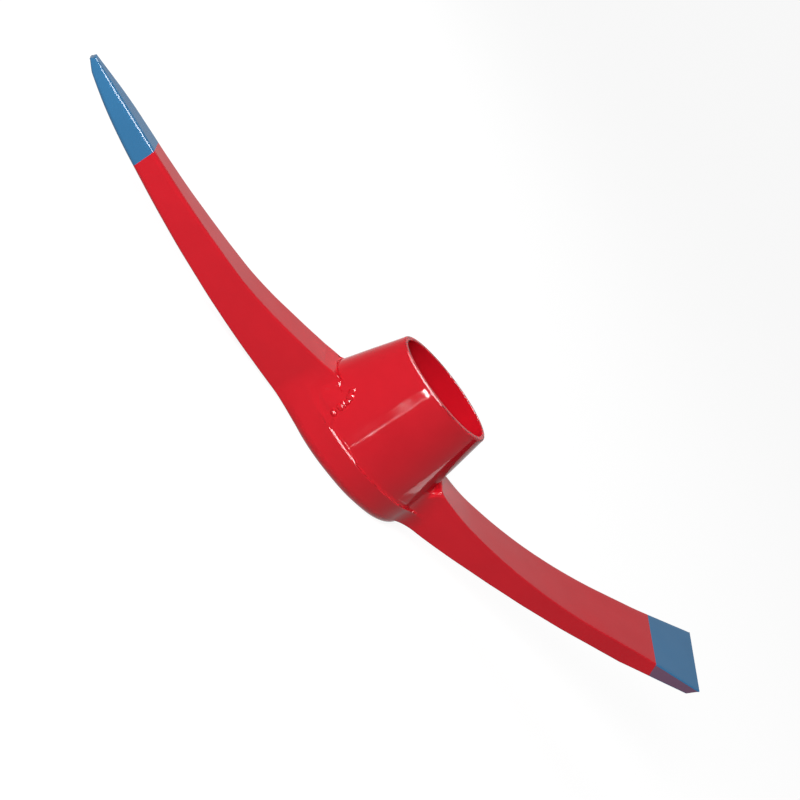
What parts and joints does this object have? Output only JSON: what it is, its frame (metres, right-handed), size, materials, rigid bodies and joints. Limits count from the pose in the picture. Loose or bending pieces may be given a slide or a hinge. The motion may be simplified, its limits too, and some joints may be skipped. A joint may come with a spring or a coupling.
{
  "type": "pick axe head",
  "caption": "Steel pick axe head with a tapered oval eye for a handle, a curved arm drawn to a blunt point and a flat arm flared to a beveled chisel edge.",
  "frame": {"origin": "on the eye's axis, in the crown face at the wide end of the eye", "axes": "+Z along the eye from the crown to the mouth that the handle leaves by, +X from the pick point towards the chisel edge, +Y across the head"},
  "size_m": [0.5115, 0.07, 0.0869],
  "materials": {
    "red_paint": "gloss",
    "blue_paint": "gloss"
  },
  "bodies": {
    "root": {"eye_collar": "red_paint", "eye_band": "red_paint", "pick_arm": "red_paint", "pick_point": "blue_paint", "chisel_arm": "red_paint", "chisel_bit": "blue_paint", "pick_weld": "red_paint", "chisel_weld": "red_paint"}
  },
  "joints": []
}
